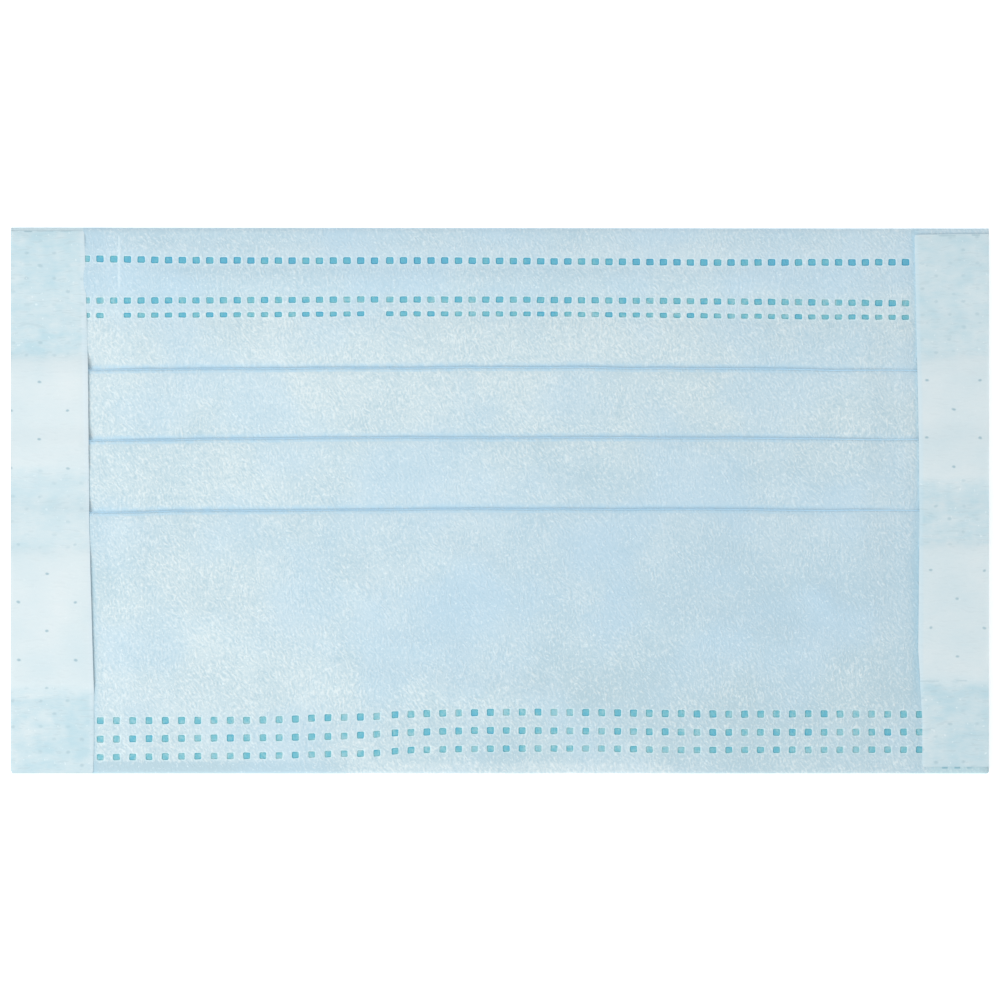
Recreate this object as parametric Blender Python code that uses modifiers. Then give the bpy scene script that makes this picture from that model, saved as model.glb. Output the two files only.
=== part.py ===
# Pleated medical face mask, lying flat with its front up: one folded sheet of cloth with three pleats, a side
# band wrapped round each end of it and the nose wire inside its top hem.
# Metres. +X runs across the face, +Y towards the nose edge, +Z up from the surface that it lies on.
import math

import bmesh
import bpy

# Outline of the whole mask
MASK_WIDTH = 0.175
MASK_HEIGHT = 0.0975

# Cloth of the panel, the air between its folded layers, and the gap between neighbouring pieces
CLOTH = 0.0010
LAYER_GAP = 0.0002
CLEARANCE = 0.0003

# Pleats: "at" is the fold line's distance below the nose edge and "bow" how far its middle lies nearer that
# edge, both as shares of the mask's height
PLEATS = (
    {"at": 0.2603, "bow": 0.0050},
    {"at": 0.3892, "bow": 0.0052},
    {"at": 0.5197, "bow": 0.0046},
)

# Hems turned to the back, as shares of the panels above the first and below the last pleat
TOP_HEM = 0.66
BOTTOM_HEM = 0.27

# How far the lower panel sags between the last pleat and the bottom hem
LOWER_SAG = 0.0004

# Nose wire: its channel's centre is a share of the panel above the first pleat, and SHIFT is along X
WIRE_LENGTH = 0.100
WIRE_WIDTH = 0.0032
WIRE_THICKNESS = 0.0008
WIRE_AT = 0.37
WIRE_SHIFT = -0.0055

# The cloth rises over the wire on flanks this many layer steps wide, and half way out it stands at this share
FLANK_STEPS = 1.4
FLANK_SHARE = 0.62

# Behind the top hem the cloth comes down to the surface over this many layer steps
LANDING_STEPS = 3.0

# Side bands: tape round each end. "share" runs from the band's top end to its bottom end, and "width" is a
# share of BAND_WIDTH. The ends stop short of the mask's top and bottom edges.
BAND_WIDTH = 0.0135
BAND_WALL = 0.0010
BANDS = (
    {
        "name": "side_band_left",
        "side": -1.0,
        "top_setback": 0.0007,
        "bottom_setback": 0.0002,
        "widths": (
            {"share": 0.00, "width": 0.97},
            {"share": 0.26, "width": 1.02},
            {"share": 0.55, "width": 1.04},
            {"share": 0.85, "width": 1.10},
            {"share": 1.00, "width": 1.10},
        ),
    },
    {
        "name": "side_band_right",
        "side": 1.0,
        "top_setback": 0.0013,
        "bottom_setback": 0.0010,
        "widths": (
            {"share": 0.00, "width": 0.98},
            {"share": 0.26, "width": 0.94},
            {"share": 0.52, "width": 0.93},
            {"share": 0.83, "width": 0.92},
            {"share": 1.00, "width": 0.87},
        ),
    },
)

# Welded margins inside the bands: the folded stack is pressed to this share of its height, and it swells back
# to its full height over PRESS_RUN
PRESSED = 0.30
PRESS_RUN = 0.008

# Between the bands the springy pleats lift the panel off the surface, by EDGE_PUFF of this at its free edges
PUFF = 0.0015
EDGE_PUFF = 0.35

# Fineness of the round folds and of the sheet along X
BEND_STEPS = 6
SLOPE_STEPS = 6
MARGIN_SPANS = 6
MIDDLE_SPANS = 14

# Levels of the cloth's middle surface in a stack of three layers
LAYER_STEP = CLOTH + LAYER_GAP
LOW = CLOTH / 2
MIDDLE = LOW + LAYER_STEP
TOP = LOW + 2 * LAYER_STEP
STACK_HEIGHT = TOP + CLOTH / 2
BEND_RADIUS = LAYER_STEP / 2
BEND_REACH = BEND_RADIUS + CLOTH / 2

# The band's slot round the pressed margin
SLOT_BOTTOM = BAND_WALL
SLOT_HEIGHT = STACK_HEIGHT * PRESSED + 2 * CLEARANCE
BAND_BEND = (SLOT_HEIGHT + BAND_WALL) / 2
PANEL_HALF = MASK_WIDTH / 2 - BAND_WALL / 2 - BAND_BEND
WIDEST_SHARE = max(row["width"] for band in BANDS for row in band["widths"])
PRESS_START = MASK_WIDTH / 2 - BAND_WIDTH * WIDEST_SHARE
RELAXED_HALF = PRESS_START - PRESS_RUN
MIDDLE_SPAN = 2 * RELAXED_HALF / MIDDLE_SPANS

# Places down the mask that the hems and the wire share
FIRST_PANEL = PLEATS[0]["at"] * MASK_HEIGHT
LAST_PANEL = (1.0 - PLEATS[-1]["at"]) * MASK_HEIGHT
WIRE_DOWN = WIRE_AT * FIRST_PANEL
WIRE_RISE = WIRE_THICKNESS + 2 * CLEARANCE - LAYER_GAP


def smooth(value):
    """Ease from 0 to 1, level at both ends."""
    share = min(max(value, 0.0), 1.0)
    return share * share * (3.0 - 2.0 * share)


def arc(down, height, radius, start, sweep):
    """Points on an arc; angle 0 points down the mask and 90 degrees points up from the surface."""
    points = []
    for step in range(BEND_STEPS + 1):
        angle = math.radians(start + sweep * step / BEND_STEPS)
        points.append((down + radius * math.cos(angle), height + radius * math.sin(angle)))
    return points


def slope(start, end, height):
    """Points from start to end down the mask, with their height from a function of 0 to 1."""
    shares = [step / SLOPE_STEPS for step in range(SLOPE_STEPS + 1)]
    return [(start + (end - start) * share, height(share)) for share in shares]


def wire_cover(x):
    """How much of the channel's rise stands at x: all of it over the wire, none well past its ends."""
    past_end = abs(x - WIRE_SHIFT) - WIRE_LENGTH / 2
    return min(max(2.0 - past_end / MIDDLE_SPAN, 0.0), 1.0)


def top_hem(x):
    """From the hem's raw edge at the back, round the nose edge and over the wire to the first panel."""
    end = TOP_HEM * FIRST_PANEL
    rise = WIRE_RISE * wire_cover(x)
    flat_half = WIRE_WIDTH / 2 + CLEARANCE
    foot_half = flat_half + FLANK_STEPS * LAYER_STEP
    points = [(end, LOW)]
    points += arc(BEND_REACH, LOW + BEND_RADIUS, BEND_RADIUS, 270.0, -180.0)
    points += [
        (WIRE_DOWN - foot_half, MIDDLE),
        (WIRE_DOWN - (foot_half + flat_half) / 2, MIDDLE + rise * FLANK_SHARE),
        (WIRE_DOWN - flat_half, MIDDLE + rise),
        (WIRE_DOWN + flat_half, MIDDLE + rise),
        (WIRE_DOWN + (foot_half + flat_half) / 2, MIDDLE + rise * FLANK_SHARE),
        (WIRE_DOWN + foot_half, MIDDLE),
    ]
    landing = end + LANDING_STEPS * LAYER_STEP
    points += slope(end, landing, lambda share: MIDDLE + (LOW - MIDDLE) * smooth(share))
    return points


def pleat(line, depth):
    """Under the fold, back up to the fold line as the middle layer, and over it as the next panel."""
    points = arc(line + depth - BEND_REACH, LOW + BEND_RADIUS, BEND_RADIUS, 270.0, 180.0)
    points += arc(line + BEND_REACH, MIDDLE + BEND_RADIUS, BEND_RADIUS, 270.0, -180.0)
    return points


def drop(down):
    """From the top of one stack to the bottom of the next, upright where it crosses the given place."""
    radius = LAYER_STEP
    points = arc(down - radius, TOP - radius, radius, 90.0, -90.0)
    return points + arc(down + radius, LOW + radius, radius, 180.0, 90.0)[1:]


def bottom_hem(start):
    """The lower panel down to the bottom edge, and its hem turned to the back."""
    end = MASK_HEIGHT - BOTTOM_HEM * LAST_PANEL
    points = slope(
        start,
        end,
        lambda share: TOP + (MIDDLE - TOP) * smooth(share) - LOWER_SAG * math.sin(math.pi * share),
    )
    points += arc(MASK_HEIGHT - BEND_REACH, LOW + BEND_RADIUS, BEND_RADIUS, 90.0, -180.0)
    points.append((end, LOW))
    return points


def cloth_path(x):
    """The folded cloth's middle surface at x, as distances below the nose edge and heights."""
    arch = 1.0 - (x / PANEL_HALF) ** 2
    lines = [(row["at"] - row["bow"] * arch) * MASK_HEIGHT for row in PLEATS]
    pass_width = CLOTH + 2 * LAYER_GAP
    points = top_hem(x)
    for index, line in enumerate(lines):
        if index + 1 < len(lines):
            depth = lines[index + 1] - line - pass_width
            points += pleat(line, depth)
            points += drop(line + depth + pass_width / 2)
        else:
            depth = line - lines[index - 1] - pass_width
            points += pleat(line, depth)
            points += bottom_hem(line + depth)
    return points


def puff(x, y):
    """How far the panel stands off the surface."""
    along = max(1.0 - (x / RELAXED_HALF) ** 2, 0.0)
    across = EDGE_PUFF + (1.0 - EDGE_PUFF) * max(1.0 - (2 * y / MASK_HEIGHT) ** 2, 0.0)
    return PUFF * along * along * across


def settle(point):
    """Lift the panel's middle, and press the stack thin inside the bands, clear of the tape's lower leaf."""
    point.z += puff(point.x, point.y)
    amount = smooth((abs(point.x) - RELAXED_HALF) / PRESS_RUN)
    pressed = SLOT_BOTTOM + CLEARANCE + PRESSED * point.z
    point.z += (pressed - point.z) * amount


def sheet(name, rows, wall, collection, material):
    """A closed sheet of even wall round the surface through rows of points."""
    columns = len(rows[0])
    cage = bmesh.new()
    bmesh.ops.create_grid(cage, x_segments=columns - 1, y_segments=len(rows) - 1, size=0.5)
    for vertex in cage.verts:
        column = round((vertex.co.x + 0.5) * (columns - 1))
        row = round((vertex.co.y + 0.5) * (len(rows) - 1))
        vertex.co = rows[row][column]
    mesh = bpy.data.meshes.new(name)
    cage.to_mesh(mesh)
    cage.free()
    piece = bpy.data.objects.new(name, mesh)
    piece.data.materials.append(material)
    collection.objects.link(piece)
    solidify = piece.modifiers.new("wall", "SOLIDIFY")
    solidify.thickness = wall
    solidify.offset = 0.0
    solidify.use_even_offset = True
    return piece


def lay_in_bands(piece):
    """Fix the wall in the piece's mesh, then settle its points."""
    bpy.context.view_layer.update()
    depsgraph = bpy.context.evaluated_depsgraph_get()
    mesh = bpy.data.meshes.new_from_object(piece.evaluated_get(depsgraph))
    piece.modifiers.clear()
    piece.data = mesh
    for vertex in mesh.vertices:
        settle(vertex.co)


def pleated_panel(collection, material):
    """The folded cloth from one pressed margin to the other."""
    margin = PANEL_HALF - RELAXED_HALF
    places = [-PANEL_HALF + margin * step / MARGIN_SPANS for step in range(MARGIN_SPANS)]
    places += [-RELAXED_HALF + MIDDLE_SPAN * step for step in range(MIDDLE_SPANS)]
    places += [RELAXED_HALF + margin * step / MARGIN_SPANS for step in range(MARGIN_SPANS + 1)]
    rows = []
    for x in places:
        rows.append([(x, MASK_HEIGHT / 2 - down, height) for down, height in cloth_path(x)])
    lay_in_bands(sheet("pleated_panel", rows, CLOTH, collection, material))


def nose_wire(collection, material):
    """The flat wire that lies between the hem's two layers."""
    height = CLOTH + CLEARANCE + WIRE_THICKNESS / 2
    centre = MASK_HEIGHT / 2 - WIRE_DOWN
    steps = 2 * MIDDLE_SPANS
    rows = []
    for step in range(steps + 1):
        x = WIRE_SHIFT + WIRE_LENGTH * (step / steps - 0.5)
        rows.append([(x, centre + side * WIRE_WIDTH / 2, height) for side in (-1.0, 1.0)])
    lay_in_bands(sheet("nose_wire", rows, WIRE_THICKNESS, collection, material))


def side_band(band, collection, material):
    """One tape wrapped round an end of the panel, in rows from its top end to its bottom end."""
    top = MASK_HEIGHT / 2 - band["top_setback"]
    length = MASK_HEIGHT - band["top_setback"] - band["bottom_setback"]
    bend_x = MASK_WIDTH / 2 - BAND_WALL / 2 - BAND_BEND
    bend_z = BAND_WALL / 2 + BAND_BEND
    rows = []
    for row in band["widths"]:
        inner = MASK_WIDTH / 2 - BAND_WIDTH * row["width"]
        profile = [(inner, bend_z + BAND_BEND)]
        profile += arc(bend_x, bend_z, BAND_BEND, 90.0, -180.0)
        profile.append((inner, bend_z - BAND_BEND))
        y = top - length * row["share"]
        rows.append([(band["side"] * x, y, z) for x, z in profile])
    sheet(band["name"], rows, BAND_WALL, collection, material)


def finish(name, color, roughness):
    """A plain material in one colour."""
    material = bpy.data.materials.new(name)
    material.use_nodes = True
    shader = material.node_tree.nodes["Principled BSDF"]
    shader.inputs["Base Color"].default_value = (*color, 1.0)
    shader.inputs["Roughness"].default_value = roughness
    shader.inputs["Metallic"].default_value = 0.0
    return material


for old in list(bpy.data.objects):
    bpy.data.objects.remove(old, do_unlink=True)

mask = bpy.data.collections.new("medical_face_mask")
bpy.context.scene.collection.children.link(mask)
pleated_panel(mask, finish("pale_blue_cloth", (0.56, 0.75, 0.83), 0.85))
nose_wire(mask, finish("white_coated_wire", (0.80, 0.82, 0.83), 0.45))
for side_tape in BANDS:
    side_band(side_tape, mask, finish(side_tape["name"] + "_tape", (0.74, 0.84, 0.86), 0.8))
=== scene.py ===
import math
import random

import bpy
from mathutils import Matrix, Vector, noise


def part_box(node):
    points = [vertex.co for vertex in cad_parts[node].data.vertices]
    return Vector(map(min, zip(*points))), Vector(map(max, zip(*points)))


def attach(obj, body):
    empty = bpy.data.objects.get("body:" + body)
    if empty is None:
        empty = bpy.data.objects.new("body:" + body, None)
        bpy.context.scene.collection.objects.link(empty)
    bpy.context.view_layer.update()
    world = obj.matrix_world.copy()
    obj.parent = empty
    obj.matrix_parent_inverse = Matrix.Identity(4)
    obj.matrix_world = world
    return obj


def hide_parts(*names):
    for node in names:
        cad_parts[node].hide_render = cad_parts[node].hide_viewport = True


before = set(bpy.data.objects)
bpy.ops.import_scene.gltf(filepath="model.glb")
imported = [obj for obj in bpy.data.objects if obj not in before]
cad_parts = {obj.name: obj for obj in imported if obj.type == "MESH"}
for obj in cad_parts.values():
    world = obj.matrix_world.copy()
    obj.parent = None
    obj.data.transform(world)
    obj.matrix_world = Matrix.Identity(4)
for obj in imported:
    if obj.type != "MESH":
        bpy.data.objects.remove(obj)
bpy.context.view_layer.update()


# The surface under the mask and the studio round it.
# A plain white table top that glows a little, lit by a wide soft lamp at the lower left, a weak one opposite
# and a pale sky.
MASK_WIDTH = 0.175
PHOTO_LEFT = 10.4
PHOTO_RIGHT = 989.1
PHOTO_MIDDLE_X = 499.75
PHOTO_MIDDLE_Y = 500.25
PHOTO_SIZE = 1000.0
PIXEL = MASK_WIDTH / (PHOTO_RIGHT - PHOTO_LEFT)
CAMERA_HEIGHT = 2.8
FRONT_HEIGHT = 0.0022


def across(pixel):
    """X of a column of the photograph."""
    return (pixel - PHOTO_MIDDLE_X) * PIXEL


def up(pixel):
    """Y of a row of the photograph."""
    return (PHOTO_MIDDLE_Y - pixel) * PIXEL


def deselect():
    for other in bpy.context.selected_objects:
        other.select_set(False)


camera_data = bpy.data.cameras.new("camera")
camera = bpy.data.objects.new("camera", camera_data)
bpy.context.scene.collection.objects.link(camera)
camera_data.sensor_width = 36.0
camera_data.lens = camera_data.sensor_width * (CAMERA_HEIGHT - FRONT_HEIGHT) / (PHOTO_SIZE * PIXEL)
camera_data.clip_end = 20.0
camera.location = (across(PHOTO_SIZE / 2), up(PHOTO_SIZE / 2), CAMERA_HEIGHT)
bpy.context.scene.camera = camera
bpy.context.scene.view_settings.view_transform = "Standard"


class Shade:
    """A socket in a material's nodes. Arithmetic on it adds Math nodes."""

    def __init__(self, tree, socket):
        self.tree = tree
        self.socket = socket

    def node(self, kind, settings, inputs, output=0):
        made = self.tree.nodes.new(kind)
        for name, value in settings.items():
            if name == "stops":
                ramp = made.color_ramp.elements
                while len(ramp) < len(value):
                    ramp.new(1.0)
                for element, (place, color) in zip(ramp, value):
                    element.position = place
                    element.color = color
            else:
                setattr(made, name, value)
        for key, value in inputs.items():
            if isinstance(value, Shade):
                self.tree.links.new(value.socket, made.inputs[key])
            else:
                made.inputs[key].default_value = value
        return Shade(self.tree, made.outputs[output])

    def math(self, operation, other=0.0, swap=False):
        pair = {0: other, 1: self} if swap else {0: self, 1: other}
        return self.node("ShaderNodeMath", {"operation": operation}, pair)

    def __add__(self, other):
        return self.math("ADD", other)

    __radd__ = __add__

    def __sub__(self, other):
        return self.math("SUBTRACT", other)

    def __rsub__(self, other):
        return self.math("SUBTRACT", other, swap=True)

    def __mul__(self, other):
        return self.math("MULTIPLY", other)

    __rmul__ = __mul__

    def __truediv__(self, other):
        return self.math("DIVIDE", other)

    def at_least(self, other):
        return self.math("MAXIMUM", other)

    def at_most(self, other):
        return self.math("MINIMUM", other)

    def ease(self, start, end):
        """0 before start, 1 after end, smooth between them."""
        limits = {"Value": self, "From Min": start, "From Max": end}
        return self.node("ShaderNodeMapRange", {"interpolation_type": "SMOOTHSTEP"}, limits)

    def mix(self, first, second):
        """From the first colour at 0 to the second at 1."""
        colors = {0: self, 6: first, 7: second}
        return self.node("ShaderNodeMix", {"data_type": "RGBA"}, colors, output=2)


def rgb(red, green, blue):
    """A colour from the 0 to 255 values that a screen shows."""
    linear = []
    for value in (red, green, blue):
        share = value / 255.0
        linear.append(share / 12.92 if share <= 0.04045 else ((share + 0.055) / 1.055) ** 2.4)
    return (*linear, 1.0)


def material(name, roughness):
    """A new material: its shader node and the object's own coordinates as a Shade."""
    made = bpy.data.materials.new(name)
    made.use_nodes = True
    tree = made.node_tree
    shader = tree.nodes["Principled BSDF"]
    shader.inputs["Roughness"].default_value = roughness
    shader.inputs["Specular IOR Level"].default_value = 0.2
    place = Shade(tree, tree.nodes.new("ShaderNodeTexCoord").outputs["Object"])
    return made, shader, place


def feed(shader, name, value):
    value.tree.links.new(value.socket, shader.inputs[name])


deselect()
bpy.ops.mesh.primitive_plane_add(size=6.0, location=(0.0, 0.0, -0.00005))
floor = bpy.context.object
floor.name = "table_top"
white, shader, place = material("white_table_top", 0.9)
grain = place.node("ShaderNodeTexNoise", {}, {"Vector": place, "Scale": 40.0, "Detail": 3.0})
feed(shader, "Base Color", grain.mix((0.93, 0.93, 0.93, 1.0), (0.96, 0.96, 0.96, 1.0)))
shader.inputs["Emission Color"].default_value = (1.0, 1.0, 1.0, 1.0)
shader.inputs["Emission Strength"].default_value = 0.42
floor.data.materials.append(white)

LAMPS = (
    {"name": "key", "at": (-0.62, -0.55, 0.56), "size": 0.50, "power": 7.4, "color": (1.0, 0.99, 0.97)},
    {"name": "fill", "at": (-0.10, 0.65, 0.50), "size": 0.6, "power": 2.0, "color": (0.95, 0.98, 1.0)},
)
for lamp in LAMPS:
    data = bpy.data.lights.new(lamp["name"], "AREA")
    data.shape = "DISK"
    data.size = lamp["size"]
    data.energy = lamp["power"]
    data.color = lamp["color"]
    light = bpy.data.objects.new(lamp["name"], data)
    bpy.context.scene.collection.objects.link(light)
    light.location = lamp["at"]
    light.rotation_euler = Vector(lamp["at"]).to_track_quat("Z", "Y").to_euler()

sky = bpy.data.worlds.new("sky")
sky.use_nodes = True
sky.node_tree.nodes["Background"].inputs["Color"].default_value = (0.97, 0.985, 1.0, 1.0)
sky.node_tree.nodes["Background"].inputs["Strength"].default_value = 0.58
bpy.context.scene.world = sky


# The folded cloth panel.
# Three thin plies of nonwoven, blue outside and white inside, folded as one sheet into three knife pleats.
# The top hem is turned over the nose wire, the bottom edge to the back, and rows of welds hold the plies.
WIRE_LOW, WIRE_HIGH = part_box("nose_wire")
NOSE_EDGE = up(227.9)
CLOTH_HEIGHT = NOSE_EDGE - up(773.8)
CLOTH_HALF = MASK_WIDTH / 2 - 0.00080
BARE_HALF = MASK_WIDTH / 2 - 0.00005
CORNER = 0.00038
PLIES = 0.00026
# The nose edge slants down to the right, and the slant fades out over the first of the hem
TOP_SLANT = 0.0011
SLANT_RUN = 0.005

# Fold lines and weld rows as columns and rows of the photograph. A weld row also has half the height of its
# welds, the places in it that have none, and how pale its dye is.
FOLDS = (
    {"places": ((90.0, 370.6), (296.0, 368.6), (500.0, 368.0), (708.0, 369.0), (915.0, 371.4))},
    {"places": ((90.0, 441.0), (296.0, 438.8), (500.0, 438.0), (708.0, 438.5), (915.0, 440.4))},
    {"places": ((90.0, 512.8), (296.0, 510.4), (500.0, 509.6), (708.0, 509.8), (915.0, 511.2))},
)
TOP_ROWS = (
    {
        "places": (
            (100.0, 258.8), (169.0, 260.2), (306.0, 260.9), (445.0, 260.7), (717.0, 262.7), (905.0, 262.3),
        ),
        "half": 3.65,
        "missing": (),
        "dye": (0.02, 0.50),
    },
    {
        "places": (
            (99.0, 300.5), (237.0, 300.2), (374.0, 299.4), (513.0, 299.7), (785.0, 302.0), (905.0, 303.3),
        ),
        "half": 3.5,
        "missing": (),
        "dye": (0.35, 0.85),
    },
    {
        "places": (
            (99.0, 315.4), (251.0, 314.8), (374.0, 313.8), (541.0, 314.0), (812.0, 316.9), (905.0, 317.3),
        ),
        "half": 2.9,
        "missing": (2, 21),
        "dye": (0.30, 0.85),
    },
)
BOTTOM_ROWS = (
    {
        "places": (
            (100.0, 720.7), (263.0, 720.2), (328.0, 717.6), (376.0, 716.6), (395.0, 714.5), (427.0, 713.4),
            (506.0, 712.0), (570.0, 712.2), (728.0, 714.2), (808.0, 713.8), (919.0, 714.4),
        ),
        "half": 3.9,
        "missing": (),
        "dye": (0.45, 1.0),
    },
    {
        "places": (
            (100.0, 739.2), (231.0, 737.9), (280.0, 737.6), (344.0, 736.0), (377.0, 734.2), (395.0, 732.6),
            (427.0, 731.9), (474.0, 730.3), (554.0, 730.6), (712.0, 732.4), (919.0, 732.0),
        ),
        "half": 3.8,
        "missing": (),
        "dye": (0.45, 1.0),
    },
    {
        "places": (
            (99.0, 757.3), (182.0, 756.3), (280.0, 755.5), (345.0, 753.5), (378.0, 753.4), (396.0, 750.6),
            (428.0, 749.5), (506.0, 748.4), (602.0, 748.4), (681.0, 750.0), (919.0, 749.6),
        ),
        "half": 3.6,
        "missing": (),
        "dye": (0.50, 1.0),
    },
)
# Columns of the welds. The roll that pressed them starts again part of the way across, and the cloth gave a
# little, so each run has its own first weld and pitch.
TOP_WELDS = (
    {"first": 86.3, "pitch": 13.725, "count": 22},
    {"first": 389.9, "pitch": 13.72, "count": 10},
    {"first": 527.0, "pitch": 13.65, "count": 10},
    {"first": 663.4, "pitch": 13.53, "count": 9},
    {"first": 785.1, "pitch": 13.38, "count": 10},
)
BOTTOM_WELDS = ({"first": 100.2, "pitch": 16.27, "count": 18}, {"first": 395.1, "pitch": 15.89, "count": 34})
# In pixels of the photograph: half the width of a weld, the halo round each, and the margin beside the last
TOP_HALF = 4.0
BOTTOM_HALF = 3.75
HALO = 1.9
BESIDE_LAST = 12.0
# Heights and widths of a weld's steps: the puffed halo, the cut corners and how irregular they are, the rim
# down to the pressed floor, and the floor's middle
HALO_RISE = 0.00003
WELD_CORNER = 0.00019
WELD_SHIFT = 0.00004
WELD_RIM = 0.00015
WELD_DEPTH = 0.00012
WELD_MIDDLE = 0.00009

# Inner edges of the side bands, as columns of the photograph down its rows
BAND_EDGES = {
    -1: (
        (227.0, 84.0), (370.0, 88.0), (530.0, 89.3), (600.0, 91.2), (690.0, 93.8), (740.0, 93.7),
        (773.0, 93.2),
    ),
    1: (
        (227.0, 914.4), (302.0, 916.0), (440.0, 918.8), (520.0, 919.4), (650.0, 918.2), (722.0, 922.6),
        (773.0, 922.0),
    ),
}
# Rows of the photograph in which the side bands end; past them the cloth shows as far as the mask's corners
BAND_ENDS = {-1: (773.6, 231.0), 1: (766.8, 234.8)}

# Heights of the middle of the cloth above the table, and distances along it
FLOOR_LAYER = 0.00016
HEM_FRONT = 0.00230
HEM_FALL = 0.00076
HEM_RUN = 0.0052
BOTTOM_FRONT = 0.00200
UNDER_FOLD = 0.00215
FOLD_TOP = UNDER_FOLD + 2 * PLIES + 0.00006
FOLD_RADIUS = 0.00015
FOLD_REACH = 0.00020
SWELL = 0.00008
SWELL_RUN = 0.0009
TOP_BULGE = 0.00022
PLEAT_BULGE = 0.00006
LOWER_BULGE = 0.00025
HIDDEN_LOW = 0.00035
HIDDEN_RADIUS = 0.00030
PLEAT_DEPTH = 0.0112
NOSE_REACH = 0.0015
BOTTOM_REACH = 0.00040
RAW_EDGE_PAST = 0.0011
BOTTOM_HEM_PAST = 0.0030
ROW_DIP = 0.00028
ROW_REACH = 0.0009
PAST_ROWS = 0.0008
CHANNEL_RISE = 0.00045
CHANNEL_HALF = 0.0034
CHANNEL_FADE = 0.012
CHANNEL_LEFT = 0.22
PUFF = 0.0015
EDGE_PUFF = 0.35
RELAXED_HALF = 0.0640
PRESS_RUN = 0.0080
PRESSED = 0.74
PRESS_LIFT = 0.00031
BESIDE_BAND = {-1: {"depth": 0.00013, "reach": 0.0018}, 1: {"depth": 0.00030, "reach": 0.0021}}
# Past the bands' ends the cloth widens to the mask's corners. There its cut ends are pressed nearly shut,
# towards one height, over the last of their length.
BARE_LEAD = 0.0005
BARE_RUN = 0.0003
SEAL_HEIGHT = 0.00115
SEAL_RUN = 0.00060
SEAL_SHARE = 0.8
# Distances before a fold line and how deep the cloth's blue is there: 1 is deepest, and 2 is the cloth inside
# the fold, which light comes through. The blue before the fold is partly the stacked plies and partly painted
# shadow of the fold's edge, and inside the fold the colour is painted light. Then the depth round the fold
# line itself and just behind it.
BEFORE_FOLD = ((0.0013, 0.0), (0.0008, 0.50), (0.0003, 1.0), (0.0001, 2.0))
BLUE_FROM = BEFORE_FOLD[0][0]
ROUND_FOLD = 0.85
BEHIND_FOLD = 0.7

# Soft ridges of the lower panel: their ends in the photograph, half width in its pixels, and height
WRINKLES = (
    {"start": (330.0, 676.0), "end": (620.0, 704.0), "wide": 17.0, "high": 0.00042},
    {"start": (350.0, 640.0), "end": (470.0, 650.0), "wide": 12.0, "high": 0.00022},
    {"start": (345.0, 575.0), "end": (385.0, 612.0), "wide": 9.0, "high": 0.00020},
    {"start": (640.0, 610.0), "end": (850.0, 655.0), "wide": 20.0, "high": 0.00030},
    {"start": (800.0, 578.0), "end": (845.0, 618.0), "wide": 12.0, "high": 0.00020},
    {"start": (420.0, 548.0), "end": (500.0, 566.0), "wide": 13.0, "high": 0.00018},
    {"start": (150.0, 600.0), "end": (290.0, 640.0), "wide": 22.0, "high": 0.00020},
)


def ease(value):
    share = min(max(value, 0.0), 1.0)
    return share * share * (3.0 - 2.0 * share)


def hump(value):
    """1 at 0, falling to 0 at 1 either way."""
    return max(1.0 - value * value, 0.0) ** 2


def between(rows, place):
    """A value read between the rows of a short table of (place, value)."""
    for (start, first), (end, second) in zip(rows, rows[1:]):
        if place <= end:
            return first + (second - first) * min(max((place - start) / (end - start), 0.0), 1.0)
    return rows[-1][1]


def column(x):
    return x / PIXEL + PHOTO_MIDDLE_X


def down_to(line, x):
    """How far below the nose edge a fold line or a weld row lies at x."""
    return NOSE_EDGE - up(between(line["places"], column(x)))


def fold_at(index, x):
    """A fold line, with the small waver of real cloth."""
    waver = noise.noise(Vector((x * 90.0, index * 7.3, 0.4))) * 0.00016
    waver += noise.noise(Vector((x * 280.0, index * 3.1, 7.0))) * 0.00007
    return down_to(FOLDS[index], x) + waver


def past_band(x, y):
    """How far a point lies inside the inner edge of the nearer side band; negative under the band."""
    side = 1 if x > 0 else -1
    edge = across(between(BAND_EDGES[side], PHOTO_MIDDLE_Y - y / PIXEL))
    return side * (edge - x)


def arc(down, height, reach, rise, start, sweep, steps):
    points = []
    for step in range(steps + 1):
        angle = math.radians(start + sweep * step / steps)
        points.append((down + reach * math.cos(angle), height + rise * math.sin(angle)))
    return points


def spaced(start, end, count):
    """Evenly spaced values after start and before end."""
    return [start + (end - start) * (step + 1) / (count + 1) for step in range(count)]


def top_front(down, x, rows, fold):
    """Height of the front from the nose edge to the first fold line."""
    height = HEM_FRONT - HEM_FALL * (1.0 - ease((down - 0.0006) / HEM_RUN))
    for row in rows:
        height -= ROW_DIP * math.exp(-(((down - row) / ROW_REACH) ** 2))
    wire_middle = NOSE_EDGE - (WIRE_LOW.y + WIRE_HIGH.y) / 2
    past_wire = max(WIRE_LOW.x - x, x - WIRE_HIGH.x, 0.0)
    cover = CHANNEL_LEFT + (1.0 - CHANNEL_LEFT) * (1.0 - ease(past_wire / CHANNEL_FADE))
    height += CHANNEL_RISE * cover * hump((down - wire_middle) / CHANNEL_HALF)
    past_rows = rows[2] + PAST_ROWS
    share = (down - past_rows) / (fold - past_rows)
    if share > 0.0:
        height += TOP_BULGE * math.sin(math.pi * share) + (UNDER_FOLD - HEM_FRONT) * share
    return height


def behind_fold(start):
    """Places just behind a fold line, where the cloth still swells from its bend."""
    return [start + SWELL_RUN * share for share in (0.2, 0.45, 0.75)]


def pleat_front(down, start, end):
    """Height of a pleat's front, which starts on top of the fold before it and ends under the next."""
    share = (down - start) / (end - start)
    height = FOLD_TOP + (UNDER_FOLD - FOLD_TOP) * share ** 1.25
    height += SWELL * ease((down - start) / SWELL_RUN) * (1.0 - share)
    return height + PLEAT_BULGE * math.sin(math.pi * min(share, 1.0))


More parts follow.
